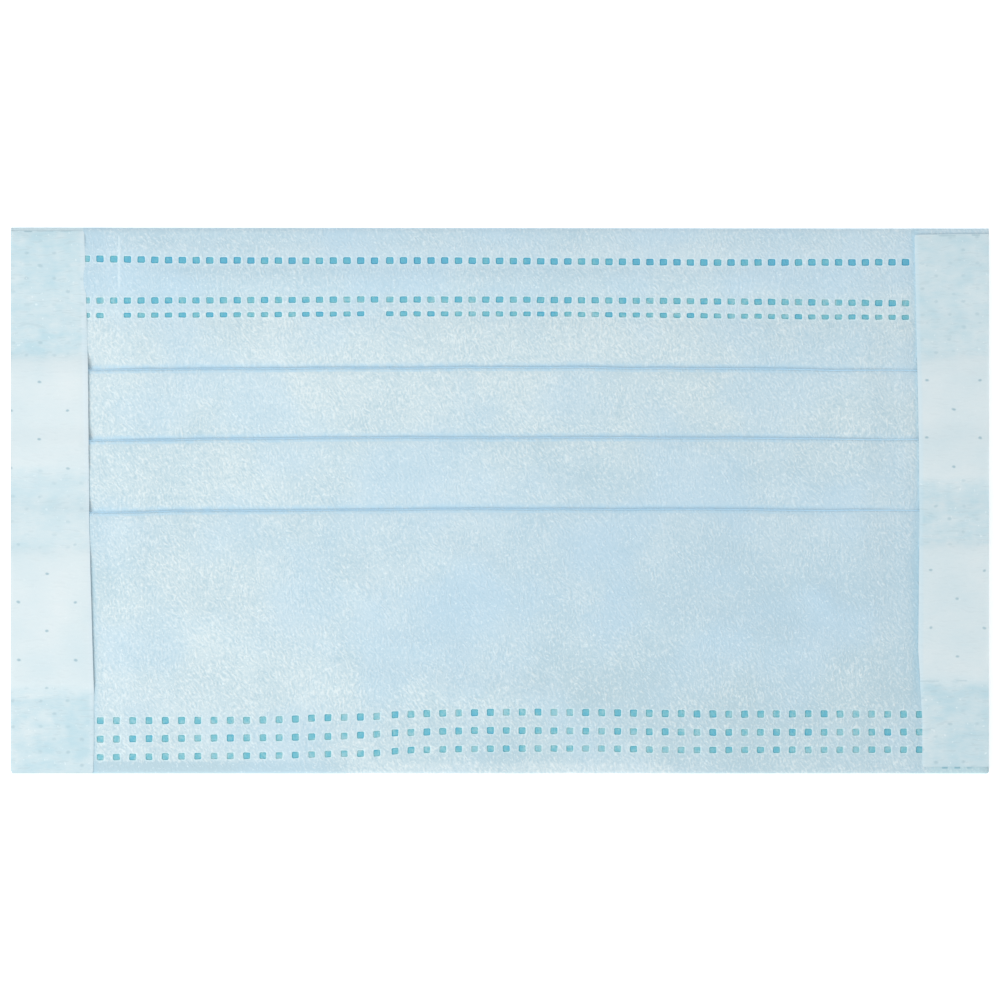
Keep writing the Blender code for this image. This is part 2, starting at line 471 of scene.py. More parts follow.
def lower_front(down, start, rows):
    """Height of the lower panel, from the last fold line to the bottom edge."""
    share = min((down - start) / (rows[0] - start), 1.0)
    height = FOLD_TOP + (BOTTOM_FRONT - FOLD_TOP) * ease(share) + LOWER_BULGE * math.sin(math.pi * share)
    height += SWELL * ease((down - start) / SWELL_RUN) * (1.0 - share)
    for row in rows:
        height -= ROW_DIP * 0.8 * math.exp(-(((down - row) / ROW_REACH) ** 2))
    return height - 0.00012 * ease((down - rows[2] - PAST_ROWS) / 0.0018)


def hidden_pleat(fold):
    """Under the fold to the hidden bend, back up as the middle layer, and round the fold line."""
    points = []
    for share in (0.12, 0.35, 0.6, 0.85):
        points.append((fold + PLEAT_DEPTH * share, UNDER_FOLD + (HIDDEN_LOW - UNDER_FOLD) * ease(share)))
    low = HIDDEN_LOW + HIDDEN_RADIUS
    points += arc(fold + PLEAT_DEPTH, low, HIDDEN_RADIUS, HIDDEN_RADIUS, 270.0, 180.0, 6)
    back = FOLD_TOP - 2 * FOLD_RADIUS
    high = HIDDEN_LOW + 2 * HIDDEN_RADIUS
    for share in (0.8, 0.5, 0.2):
        points.append((fold + PLEAT_DEPTH * share, back + (high - back) * ease(share)))
    nose = fold + FOLD_REACH + PLIES / 2
    points += arc(nose, FOLD_TOP - FOLD_RADIUS, FOLD_REACH, FOLD_RADIUS, 270.0, -180.0, 8)
    return points


def cloth_line(x):
    """The folded cloth at x as (down, height), from the top hem's raw edge to the bottom hem's. Also where in
    it the weld rows start, where the last pleat's hidden middle is, and how deep the blue is by the folds,
    which carries painted shadow before each fold and painted light inside it."""
    tops = [down_to(row, x) for row in TOP_ROWS]
    lows = [down_to(row, x) for row in BOTTOM_ROWS]
    folds = [fold_at(index, x) for index in range(len(FOLDS))]
    line = []
    marks = []
    deep = {}

    def welded(rows, places, start, end, counts, height, *rest):
        last = start
        for row, place, count in zip(rows, places, counts):
            half = (row["half"] + HALO) * PIXEL
            line.extend((down, height(down, *rest)) for down in spaced(last, place - half, count))
            marks.append(len(line))
            line.extend((down, height(down, *rest)) for down in (place - half, place + half))
            last = place + half
        line.extend((down, height(down, *rest)) for down in spaced(last, end, counts[-1]))

    raw_edge = tops[2] + RAW_EDGE_PAST
    line += [(down, FLOOR_LAYER) for down in (raw_edge, raw_edge * 0.7, raw_edge * 0.4, 0.0030)]
    nose = NOSE_REACH + PLIES / 2
    top = top_front(nose, x, tops, folds[0])
    line += arc(nose, (FLOOR_LAYER + top) / 2, NOSE_REACH, (top - FLOOR_LAYER) / 2, 270.0, -180.0, 10)
    welded(TOP_ROWS, tops, nose, folds[0] - BLUE_FROM, (4, 8, 1, 9), top_front, x, tops, folds[0])
    for index, fold in enumerate(folds):
        for before, depth in BEFORE_FOLD:
            down = fold - before
            if index == 0:
                high = top_front(down, x, tops, folds[0])
            else:
                high = pleat_front(down, start, fold)
            deep[len(line)] = depth
            line.append((down, high))
        inside = len(line)
        line += hidden_pleat(fold)
        bend = len(line) - 5
        deep.update((place, 2.0) for place in range(inside, bend))
        deep.update((place, ROUND_FOLD) for place in range(bend, len(line)))
        start = fold + FOLD_REACH + PLIES / 2
        deep[len(line)] = BEHIND_FOLD
        if index + 1 < len(folds):
            downs = behind_fold(start) + spaced(start + SWELL_RUN, folds[index + 1] - BLUE_FROM, 12)
            line += [(down, pleat_front(down, start, folds[index + 1])) for down in downs]
    seam = len(line) - 10
    end = CLOTH_HEIGHT - BOTTOM_REACH - PLIES / 2
    line += [(down, lower_front(down, start, lows)) for down in behind_fold(start)]
    welded(BOTTOM_ROWS, lows, start + SWELL_RUN, end, (34, 1, 1, 2), lower_front, start, lows)
    top = lower_front(end, start, lows)
    line += arc(end, (top + FLOOR_LAYER) / 2, BOTTOM_REACH, (top - FLOOR_LAYER) / 2, 90.0, -180.0, 10)
    turned = CLOTH_HEIGHT - lows[0] + BOTTOM_HEM_PAST
    line += [(CLOTH_HEIGHT - up_from_edge, FLOOR_LAYER) for up_from_edge in (0.0040, 0.0080, turned)]
    return line, marks, seam, deep


def relief(x, y):
    """Soft unevenness and wrinkles, and the dips beside the side bands."""
    height = noise.noise(Vector((x * 60.0, y * 90.0, 3.1))) * 0.00009
    height += noise.noise(Vector((x * 170.0, y * 190.0, 8.4))) * 0.00003
    for wrinkle in WRINKLES:
        start = Vector((across(wrinkle["start"][0]), up(wrinkle["start"][1])))
        along = Vector((across(wrinkle["end"][0]), up(wrinkle["end"][1]))) - start
        share = (Vector((x, y)) - start).dot(along) / along.length_squared
        aside = (Vector((x, y)) - start - along * share).length / (wrinkle["wide"] * PIXEL)
        if 0.0 < share < 1.0 and aside < 2.5:
            height += wrinkle["high"] * math.sin(math.pi * share) ** 0.7 * math.exp(-aside * aside)
    side = 1 if x > 0 else -1
    beside = BESIDE_BAND[side]
    return height - beside["depth"] * (1.0 - ease(past_band(x, y) / beside["reach"]))


def placed(x, down, height):
    """A point of the cloth in the frame. The nose edge slants a little, the middle puffs up, and the margins
    are pressed flat. Past the bands' ends the cut ends reach the mask's corners, pressed nearly shut."""
    y = NOSE_EDGE - down - TOP_SLANT * x * max(1.0 - down / SLANT_RUN, 0.0)
    height += relief(x, y) * min(height / FRONT_HEIGHT, 1.0)
    along = max(1.0 - (x / RELAXED_HALF) ** 2, 0.0)
    middle = EDGE_PUFF + (1.0 - EDGE_PUFF) * max(1.0 - (2.0 * y / CLOTH_HEIGHT) ** 2, 0.0)
    height += PUFF * along * along * middle
    amount = ease((abs(x) - RELAXED_HALF) / PRESS_RUN)
    height += (PRESS_LIFT + PRESSED * height - height) * amount
    into_end = CLOTH_HALF - abs(x)
    if into_end < SEAL_RUN + 0.00001:
        low, high = BAND_ENDS[1 if x > 0 else -1]
        bare = ease((max(y - up(high), up(low) - y) + BARE_LEAD) / BARE_RUN)
        into_corner = min(max(abs(y) - CLOTH_HEIGHT / 2 + CORNER, 0.0), CORNER)
        rounding = CORNER - math.sqrt(CORNER * CORNER - into_corner * into_corner)
        x += math.copysign(bare * (BARE_HALF - CLOTH_HALF - rounding), x)
        height += (SEAL_HEIGHT - height) * SEAL_SHARE * bare * max(1.0 - into_end / SEAL_RUN, 0.0)
    return Vector((x, y, height))


def weld_columns(runs, half):
    """Places across the sheet: the sides of each weld, and the two margins. Also where the first weld is in
    that list, and the number of welds."""
    middles = [run["first"] + run["pitch"] * step for run in runs for step in range(run["count"])]
    left = column(-CLOTH_HALF)
    right = column(CLOTH_HALF)
    seal = SEAL_RUN / PIXEL
    columns = [left, left + seal, left + 2 * seal] + spaced(left + 2 * seal, middles[0] - half, 4)
    first_weld = len(columns)
    for middle in middles:
        columns += [middle - half, middle + half]
    last = middles[-1] + half
    columns += spaced(last, last + BESIDE_LAST, 3) + spaced(last + BESIDE_LAST, right - 2 * seal, 4)
    columns += [right - 2 * seal, right - seal, right]
    return [across(pixel) for pixel in columns], first_weld, len(middles)


def strip(name, runs, half, rows, is_upper):
    """One part of the sheet, with its rows laid along the folded cloth from the bottom hem upwards."""
    places, first_weld, count = weld_columns(runs, half + HALO)
    lines = []
    for x in places:
        line, marks, seam, deep = cloth_line(x)
        chosen = line[: seam + 1] if is_upper else line[seam + 1 :]
        lines.append([placed(x, *point) for point in reversed(chosen)])
    tall = len(lines[0])
    wide = len(places)
    deselect()
    bpy.ops.mesh.primitive_grid_add(x_subdivisions=wide - 1, y_subdivisions=tall - 1, size=1.0)
    piece = bpy.context.object
    piece.name = name
    last = seam if is_upper else len(line) - 1
    by_fold = piece.data.attributes.new("by_fold", "FLOAT", "POINT")
    for vertex in piece.data.vertices:
        vertex.co = lines[vertex.index % wide][vertex.index // wide]
        by_fold.data[vertex.index].value = deep.get(last - vertex.index // wide, 0.0)
    starts = [tall - 2 - mark for mark in marks[:3]]
    if not is_upper:
        starts = [tall - 1 - mark + seam for mark in marks[3:]]
    chance = random.Random(11 if is_upper else 12)
    dyes = {}
    for start, row in zip(starts, rows):
        for index in range(count):
            if index not in row["missing"]:
                dyes[start * wide + first_weld + 2 * index] = chance.uniform(*row["dye"])
    dye = piece.data.attributes.new("dye", "FLOAT", "FACE")
    for face in piece.data.polygons:
        dye.data[face.index].value = dyes.get(min(face.vertices), 0.0)
    return piece, wide


def chosen_edges(piece, *groups):
    """Selects the edges that lie within one of the groups of vertices."""
    edit(piece)
    bpy.ops.mesh.select_mode(type="EDGE")
    bpy.ops.mesh.select_all(action="DESELECT")
    bpy.ops.object.mode_set(mode="OBJECT")
    for edge in piece.data.edges:
        edge.select = any(set(edge.vertices) <= group for group in groups)


def edit(piece):
    deselect()
    piece.select_set(True)
    bpy.context.view_layer.objects.active = piece
    bpy.ops.object.mode_set(mode="EDIT")


def inset(piece, thickness, depth):
    """Insets each chosen face by itself and returns the corners of the faces inside."""
    edit(piece)
    bpy.ops.mesh.inset(thickness=thickness, depth=depth, use_individual=True)
    bpy.ops.object.mode_set(mode="OBJECT")
    return {corner for face in piece.data.polygons if face.select for corner in face.vertices}


def press_welds(piece):
    """Presses each chosen face into the cloth: a halo, cut corners, a rim and a floor. The mesh keeps how far
    into a weld its points lie: 1 at its edge, 2 on its floor and 3 in the floor's middle."""
    inset(piece, HALO * PIXEL, HALO_RISE)
    edit(piece)
    bpy.ops.mesh.bevel(offset=WELD_CORNER, affect="VERTICES")
    bpy.ops.mesh.select_all(action="DESELECT")
    bpy.ops.object.mode_set(mode="OBJECT")
    edges = set()
    for face in piece.data.polygons:
        face.select = len(face.vertices) == 8
        if face.select:
            edges.update(face.vertices)
    chance = random.Random(5)
    for corner in sorted(edges):
        shift = Vector((chance.uniform(-1.0, 1.0), chance.uniform(-1.0, 1.0), 0.0))
        piece.data.vertices[corner].co += shift * WELD_SHIFT
    floors = inset(piece, WELD_RIM, -WELD_DEPTH)
    middles = inset(piece, WELD_MIDDLE, 0.0)
    pressed = piece.data.attributes.new("pressed", "FLOAT", "POINT")
    for corners, amount in ((edges, 1.0), (floors - edges, 2.0), (middles - floors, 3.0)):
        for corner in corners:
            pressed.data[corner].value = amount


def thicken(piece, wall, inner):
    """Gives a sheet its wall about its middle; the material slot number inner is for its back and edges."""
    solid = piece.modifiers.new("wall", "SOLIDIFY")
    solid.thickness = wall
    solid.offset = 0.0
    solid.use_even_offset = True
    solid.material_offset = inner
    solid.material_offset_rim = inner
    bpy.context.view_layer.objects.active = piece
    bpy.ops.object.modifier_apply(modifier=solid.name)


def laid_flat(points):
    """Length of a folded line of cloth."""
    return sum(math.dist(first, second) for first, second in zip(points, points[1:]))


def bent(place, scale, amount):
    """Coordinates pushed about by a slow noise, so that fibres curve."""
    push = place.node("ShaderNodeTexNoise", {}, {"Vector": place, "Scale": scale, "Detail": 1.0}, output=1)
    centred = push.node("ShaderNodeVectorMath", {"operation": "SUBTRACT"}, {0: push, 1: (0.5, 0.5, 0.5)})
    sized = push.node("ShaderNodeVectorMath", {"operation": "SCALE"}, {0: centred, 3: amount})
    return push.node("ShaderNodeVectorMath", {"operation": "ADD"}, {0: place, 1: sized})


def strands(place, angle, length, width, seed):
    """Noise drawn out into fibres at an angle in degrees from +X; 0 to 1, mostly near one half."""
    turn = {"Vector": place, "Angle": math.radians(-angle)}
    turned = place.node("ShaderNodeVectorRotate", {"rotation_type": "Z_AXIS"}, turn)
    stretch = (1 / length, 1 / width, 1 / length)
    drawn = place.node("ShaderNodeVectorMath", {"operation": "MULTIPLY"}, {0: turned, 1: stretch})
    shift = (seed, seed * 1.7, seed * 0.6)
    moved = place.node("ShaderNodeVectorMath", {"operation": "ADD"}, {0: drawn, 1: shift})
    settings = {"Vector": moved, "Scale": 1.0, "Detail": 1.0, "Roughness": 0.4}
    return place.node("ShaderNodeTexNoise", {}, settings)


def clouds(place, scale, seed):
    """Slow noise; 0 to 1, mostly near one half."""
    moved = place.node("ShaderNodeVectorMath", {"operation": "ADD"}, {0: place, 1: (seed, seed * 0.4, 0.0)})
    return place.node("ShaderNodeTexNoise", {}, {"Vector": moved, "Scale": scale, "Detail": 2.0})


def felted(place, lean):
    """Height of nonwoven's fibres: short raised strands, mostly along lean, and finer ones across it."""
    waved = bent(place, 560.0, 0.0010)
    first = strands(waved, lean, 0.00072, 0.00036, 1.3)
    second = strands(waved, lean - 28.0, 0.00066, 0.00035, 4.9)
    third = strands(waved, lean + 65.0, 0.00050, 0.00032, 8.2)
    patch = clouds(place, 160.0, 2.0).ease(0.42, 0.58)
    main = patch * first + (1.0 - patch) * second
    return main.ease(0.48, 0.76) + 0.5 * main.ease(0.28, 0.48) + 0.6 * third.ease(0.50, 0.76) - 0.58


def rough(shader, height, depth):
    """Feeds a height in units of depth to the shader as bumps."""
    settings = {"Height": height, "Distance": depth, "Strength": 1.0}
    feed(shader, "Normal", height.node("ShaderNodeBump", {}, settings))


def photo_place(place):
    """Columns and rows of the photograph, for a material."""
    parts = place.node("ShaderNodeSeparateXYZ", {}, {0: place})
    columns = parts / PIXEL + PHOTO_MIDDLE_X
    rows = PHOTO_MIDDLE_Y - Shade(parts.tree, parts.socket.node.outputs[1]) / PIXEL
    return columns, rows


def stored(place, name):
    """A value that the mesh holds as an attribute."""
    return place.node("ShaderNodeAttribute", {"attribute_name": name}, {}, output=2)


def inner_edge(side, rows):
    """Column of the photograph where a side band's inner edge lies, for a material."""
    return 84.0 + 9.5 * rows.ease(200.0, 720.0) if side < 0 else 914.0 + 5.0 * rows.ease(200.0, 460.0)


def blue_cloth(place, columns, rows, fibre):
    """The cloth's colour: pale fibres over blue that deepens in the hem, with painted shade to the right and
    low down.
    """
    slow = clouds(place, 48.0, 5.0) - 0.5
    patchy = clouds(place, 150.0, 7.0) - 0.5
    # Painted shade: darker to the right, away from the lamp, and low down, most at the lower right.
    from_left = columns.ease(100.0, 900.0)
    lower = rows.ease(410.0, 450.0)
    hem = 1.0 - rows.ease(288.0, 322.0)
    # The hem is darker at the left. Painted shade darkens it on the upper side of the wire's ridge below the
    # first weld row, along the top edge where the hem rolls over, and beside the left band.
    hem_tone_and_painted_shade = hem * (0.12 - 0.26 * from_left + 0.16 * rows.ease(262.0, 272.0))
    hem_tone_and_painted_shade = hem_tone_and_painted_shade + 0.18 * (1.0 - rows.ease(234.0, 252.0))
    hem_tone_and_painted_shade = hem_tone_and_painted_shade + 0.22 * (1.0 - columns.ease(90.0, 112.0)) * (1.0 - rows.ease(288.0, 310.0))
    low_right = columns.ease(200.0, 520.0) * rows.ease(480.0, 640.0)
    # Along the bottom edge the cloth is darker at the left and lighter in the middle.
    bottom = rows.ease(759.0, 766.0)
    bottom_left = bottom * (1.0 - columns.ease(180.0, 420.0))
    bottom_middle = bottom * columns.ease(300.0, 450.0) * (1.0 - columns.ease(600.0, 750.0))
    darker = 0.10 * from_left + 0.07 * lower + hem_tone_and_painted_shade + 0.19 * low_right
    darker = darker + 0.95 * bottom_left - 0.30 * bottom_middle
    tone = 0.51 + 0.62 * fibre + (0.42 + 0.16 * lower) * slow + (0.5 + 0.14 * lower) * patchy - darker
    cloth = tone.at_least(0.0).at_most(1.0).mix(rgb(178, 202, 212), rgb(214, 226, 229))
    middle_right = columns.ease(200.0, 520.0) * rows.ease(400.0, 540.0) * (1.0 - rows.ease(600.0, 700.0))
    bluer = 0.32 * clouds(place, 62.0, 9.0).ease(0.42, 0.66) + 0.22 * hem + 0.28 * middle_right
    cloth = bluer.mix(cloth, rgb(182, 210, 228))
    specks = clouds(place, 2300.0, 6.0).ease(0.61, 0.73)
    return (0.50 * specks).mix(cloth, rgb(226, 240, 244))


def marked(cloth, columns, rows):
    """The cloth with a light crease near the left band and the row of slits under the right one."""
    crease = 1.0 - (columns - 119.0).math("ABSOLUTE").ease(0.4, 1.8)
    crease = crease * rows.ease(234.0, 240.0) * (1.0 - rows.ease(284.0, 294.0))
    cloth = (0.5 * crease).mix(cloth, rgb(216, 232, 238))
    first_slit = 944.9
    pitch = 12.45
    aside = (((columns - first_slit) / pitch + 0.5).math("FRACT") - 0.5).math("ABSOLUTE")
    slits = (1.0 - aside.ease(0.19, 0.29)) * columns.ease(937.0, 940.0) * (1.0 - columns.ease(958.0, 984.0))
    slits = slits * rows.ease(766.2, 766.9) * (1.0 - rows.ease(768.4, 769.2))
    return (0.8 * slits).mix(cloth, rgb(84, 148, 172))


def shaded_by_bands(cloth, columns, rows):
    """The cloth with the shade along each side band's inner edge, deeper where the tape stands off."""
    down_right = rows.ease(480.0, 560.0)
    left = 0.06 + 0.30 * rows.ease(540.0, 580.0)
    right = 0.38 + 0.12 * down_right - 0.30 * rows.ease(680.0, 710.0)
    for side, reach, amount in ((-1, 6.0, left), (1, 5.0 + 6.0 * down_right, right)):
        under = side * (columns - inner_edge(side, rows))
        shade = (under / reach).ease(-1.2, -0.1) * (1.0 - under.ease(3.0, 6.0))
        cloth = (amount * shade).mix(cloth, rgb(160, 198, 215))
    return cloth


def past_bands(cloth, columns, rows):
    """The cloth with the bare strips past the bands, whiter at the top left and bluer at the bottom right."""
    top_left = (1.0 - columns.ease(82.0, 84.0)) * (1.0 - rows.ease(231.0, 233.0))
    cloth = (0.7 * top_left).mix(cloth, rgb(200, 218, 223))
    bottom_right = rows.ease(765.5, 767.5) * columns.ease(922.0, 936.0)
    return (0.4 * bottom_right).mix(cloth, rgb(180, 213, 219))


# Colours of a weld as its dye gets paler
WELD_DYES = (
    (0.0, rgb(28, 142, 180)),
    (0.3, rgb(50, 153, 181)),
    (0.6, rgb(86, 163, 176)),
    (0.8, rgb(114, 173, 180)),
    (1.0, rgb(148, 185, 190)),
)


def weld_color(place, columns, pressed):
    """A weld's own dye, mottled, paler at the left band and in its middle."""
    pale = stored(place, "dye") + 1.6 * (clouds(place, 1500.0, 3.0) - 0.5)
    pale = pale + 0.6 * (1.0 - columns.ease(86.0, 92.0))
    teal = pale.node("ShaderNodeValToRGB", {"stops": WELD_DYES}, {0: pale})
    return (0.45 * pressed.ease(1.9, 3.0)).mix(teal, rgb(138, 202, 219))


def blue_ply():
    made, shader, place = material("blue_outer_ply", 0.82)
    columns, rows = photo_place(place)
    fibre = felted(place, -55.0)
    cloth = marked(blue_cloth(place, columns, rows, fibre), columns, rows)
    cloth = past_bands(shaded_by_bands(cloth, columns, rows), columns, rows)
    by_fold = stored(place, "by_fold")
    # Painted shadow before each fold line, where the fold's edge shades the cloth, mixed with the deeper blue
    # of the stacked plies; weaker to the right.
    far_right = columns.ease(760.0, 860.0)
    uneven = (0.42 + 0.6 * clouds(place, 700.0, 8.0).ease(0.3, 0.7)) * (1.0 - 0.6 * far_right)
    cloth = (uneven * by_fold.ease(0.0, 1.0)).mix(cloth, rgb(178, 209, 226))
    # Painted light: the cloth inside a fold is painted lighter.
    inside = by_fold.ease(1.0, 2.0) * (1.0 - 0.15 * far_right)
    cloth = inside.mix(cloth, rgb(204, 229, 243))
    pressed = stored(place, "pressed")
    haloed = (0.55 * pressed.ease(0.0, 1.0)).mix(cloth, rgb(208, 232, 239))
    weld = weld_color(place, columns, pressed)
    feed(shader, "Base Color", pressed.ease(1.0, 1.8).mix(haloed, weld))
    # Painted light: a glow that stands in for light coming through the thin cloth inside a fold
    painted_fold_glow = inside * (0.62 + 0.38 * columns.ease(740.0, 860.0))
    feed(shader, "Emission Color", painted_fold_glow.mix((0.0, 0.0, 0.0, 1.0), (0.105, 0.160, 0.190, 1.0)))
    shader.inputs["Emission Strength"].default_value = 1.0
    rough(shader, fibre, 0.000026)
    return made


def white_ply():
    made, shader, place = material("white_inner_ply", 0.85)
    fibre = felted(place, 20.0)
    tone = 0.5 + 0.4 * fibre + 0.5 * (clouds(place, 60.0, 4.0) - 0.5)
    feed(shader, "Base Color", tone.mix(rgb(214, 220, 222), rgb(240, 243, 243)))
    rough(shader, fibre, 0.00003)
    return made


panel, upper_wide = strip("folded_cloth_panel", TOP_WELDS, TOP_HALF, TOP_ROWS, True)
lower, lower_wide = strip("lower_part", BOTTOM_WELDS, BOTTOM_HALF, BOTTOM_ROWS, False)
joined = len(panel.data.vertices) + len(lower.data.vertices)
panel.select_set(True)
bpy.context.view_layer.objects.active = panel
bpy.ops.object.join()
chosen_edges(panel, set(range(upper_wide)), set(range(joined - lower_wide, joined)))
edit(panel)
bpy.ops.mesh.bridge_edge_loops()
bpy.ops.object.mode_set(mode="OBJECT")
outer_ply = blue_ply()
inner_ply = white_ply()
panel.data.materials.clear()
panel.data.materials.append(outer_ply)
panel.data.materials.append(inner_ply)
thicken(panel, PLIES, 1)

edit(panel)
bpy.ops.mesh.select_mode(type="FACE")
bpy.ops.mesh.select_all(action="DESELECT")
bpy.ops.object.mode_set(mode="OBJECT")
dye = panel.data.attributes["dye"]
for face in panel.data.polygons:
    face.select = dye.data[face.index].value > 0.0 and face.material_index == 0
press_welds(panel)
panel.data.shade_smooth()
panel.data.set_sharp_from_angle(angle=math.radians(60.0))
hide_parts("pleated_panel")
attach(panel, "root")
laid_flat(cloth_line(0.0)[0])


# The side bands.
# A strip of thin white nonwoven tape at each side, folded lengthwise round the panel's cut edge and welded.
# Blue shows through where it is pressed on the cloth, and it looks whiter where it stands off it.
TAPE = 0.00020
BACK_LEAF = TAPE / 2 + 0.00001
OUTER_REACH = 0.00003
UNDER_TAPE = 0.080
DROOP_RUN = 0.0010
# How far the top end slants, in pixels of the photograph, and droops. Then how much lighter the inner edge
# is, which on the right band is painted shade where its edge faces the lamp, and how much painted shade
# darkens the outer wall, most on the left band, whose wall faces the lamp.
BANDS = (
    {
        "node": "side_band_left",
        "piece": "side_band_left_tape",
        "side": -1,
        "slant": 0.0,
        "droop": 0.00020,
        "edge_tone": 0.12,
        "wall_painted_shade": 0.5,
    },
    {
        "node": "side_band_right",
        "piece": "side_band_right_tape",
        "side": 1,
        "slant": 1.0,
        "droop": 0.00005,
        "edge_tone": -0.22,
        "wall_painted_shade": 0.1,
    },
)
# Rows of the photograph in which the tape rises off the cloth and comes back to it, each time over RISE_ROWS,
# with the gap under it and how much whiter it looks. Elsewhere it is pressed into the cloth by LAID_IN.
RISE_ROWS = 18.0
LAID_IN = 0.00010
STANDS_OFF = {
    -1: (
        {"from": 357.0, "to": 469.0, "gap": 0.00024, "whiter": 1.0},
        {"from": 469.0, "to": 552.0, "gap": 0.00008, "whiter": 0.45},
        {"from": 552.0, "to": 690.0, "gap": 0.00026, "whiter": 1.0},
    ),
    1: (
        {"from": 225.0, "to": 357.0, "gap": 0.00004, "whiter": 0.25},
        {"from": 357.0, "to": 480.0, "gap": 0.00022, "whiter": 1.0},
        {"from": 545.0, "to": 681.0, "gap": 0.00032, "whiter": 0.88},
    ),
}
# A bond dot of the open tape, how far the pattern has moved on below the last fold, how wide it repeats, and
# a dot where the tape is laid on the cloth, in columns and rows of the photograph
BONDS = {
    -1: {"open": (39.5, 382.0), "moved": (7.5, 19.0), "wide": 56.5, "laid": (68.0, 701.0)},
    1: {"open": (980.2, 380.5), "moved": (3.8, 17.3), "wide": 53.0, "laid": (936.0, 711.0)},
}
# Painted shadow: short dark dashes at the top end of each band, and along small creases where the right one
# comes down on the cloth
SHADOW_DASHES = {
    -1: (
        {"row": 231.4, "from": 23.0, "to": 33.0, "depth": 0.9},
        {"row": 231.1, "from": 36.0, "to": 54.0, "depth": 0.4},
        {"row": 231.1, "from": 59.0, "to": 72.0, "depth": 0.5},
    ),
    1: (
        {"row": 235.6, "from": 938.0, "to": 957.0, "depth": 0.5},
        {"row": 235.0, "from": 971.0, "to": 981.0, "depth": 0.7},
        {"row": 681.2, "from": 919.0, "to": 940.0, "depth": 0.35},
        {"row": 680.7, "from": 955.0, "to": 968.0, "depth": 0.35},
    ),
}
TAPE_ROWS = 170


def off_cloth(side, row):
    """How far the tape stands off the cloth at a row of the photograph."""
    gap = -LAID_IN
    for zone in STANDS_OFF[side]:
        rise = ease((row - zone["from"]) / RISE_ROWS + 0.5)
        fall = ease((row - zone["to"]) / RISE_ROWS + 0.5)
        gap += zone["gap"] * rise * (1.0 - fall)
    return gap


def panel_under(side):
    """The panel's upper side under a band, as (y, height)."""
    line = cloth_line(side * UNDER_TAPE)[0]
    points = [placed(side * UNDER_TAPE, down, height) for down, height in line]
    return [(point.y, point.z + PLIES / 2) for point in points]


def bridged(tops, y):
    """Height of the panel's upper side near y, evened out as the tape bridges it."""
    total = 0.0
    offsets = (-0.0012, -0.0006, 0.0, 0.0006, 0.0012)
    for offset in offsets:
        total += max(height for place, height in tops if abs(place - y - offset) < 0.0016)
    return total / len(offsets)


def tape_line(band, tops, y, ends):
    """The tape at one height, from the front leaf's inner edge round the outer fold to the back leaf's."""
    side = band["side"]
    row = PHOTO_MIDDLE_Y - y / PIXEL
    inner = abs(across(between(BAND_EDGES[side], row)))
    inner += noise.noise(Vector((y * 300.0, side, 0.7))) * 0.00003
    near_end = min(max(CORNER - min(y - ends[0], ends[1] - y), 0.0), CORNER)
    rounding = CORNER - math.sqrt(CORNER * CORNER - near_end * near_end)
    at_corner = abs(y) > CLOTH_HEIGHT / 2 - CORNER
    inner += 0.5 * rounding
    outer = MASK_WIDTH / 2 - TAPE / 2 - (rounding if at_corner else 0.0)
    high = bridged(tops, y) + TAPE / 2 + off_cloth(side, row)
    high += noise.noise(Vector((y * 60.0, side * 3.0, 5.0))) * 0.00004
    high -= band["droop"] * ease(1.0 - (ends[1] - y) / DROOP_RUN)
    start = outer - OUTER_REACH
    line = []
    for inward in (0.0, 0.00014, 0.00035, 0.0008):
        line.append((inner + inward, high - 0.00005 * (1.0 - ease(inward / 0.0005))))
    for x in spaced(inner + 0.0008, start - 0.0004, 9) + [start - 0.0004, start - 0.00012]:
        line.append((x, high + noise.noise(Vector((x * 110.0, y * 160.0, side))) * 0.00003))
    middle = (high + BACK_LEAF) / 2
    line += arc(start, middle, OUTER_REACH, (high - BACK_LEAF) / 2, 90.0, -180.0, 12)
    line += [(x, BACK_LEAF) for x in spaced(start, inner + 0.0006, 5)] + [(inner + 0.0006, BACK_LEAF)]
    return line


def bond_dots(columns, rows, first, wide, tall, core, edge):
    """Staggered round bonds, wide and tall pixels apart: 1 within core pixels of a bond, 0 past edge."""
    nearest = None
    for half in (0.0, 0.5):
        across_cell = ((columns - first[0]) / wide + half + 0.5).math("FRACT") - 0.5
        down_cell = ((rows - first[1]) / tall + half + 0.5).math("FRACT") - 0.5
        aside = (across_cell * wide * 0.7).math("POWER", 2.0)
        away = (aside + (down_cell * tall).math("POWER", 2.0)).math("SQRT")
        nearest = away if nearest is None else nearest.at_most(away)
    return 1.0 - nearest.ease(core, edge)


def looks_off(side, rows):
    """How far the tape looks off the cloth, from 0 to 1."""
    off = 0.0
    for zone in STANDS_OFF[side]:
        rise = rows.ease(zone["from"] - 7.0, zone["from"] + 7.0)
        off = off + zone["whiter"] * rise * (1.0 - rows.ease(zone["to"] - 7.0, zone["to"] + 7.0))
    return off


def tape_bonds(place, side, columns, rows, off):
    """Bond dots: clear and far apart where the tape stands off the cloth, faint and closer where it lies."""
    bonds = BONDS[side]
    jolt = (clouds(place, 500.0, 7.0) - 0.5) * 3.0
    moved_on = rows.ease(515.0, 520.0)
    right = columns + jolt - bonds["moved"][0] * moved_on
    down = rows + jolt - bonds["moved"][1] * moved_on
    clear = bond_dots(right, down, bonds["open"], bonds["wide"], 57.5, 0.5, 1.9)
    close = bond_dots(columns + jolt, rows + jolt, bonds["laid"], 27.6, 25.6, 0.6, 2.4)
    faint = 0.5 * clouds(place, 260.0, 3.0).ease(0.40, 0.60)
    return (0.9 * clear * off).at_least(faint * close * (1.0 - off))


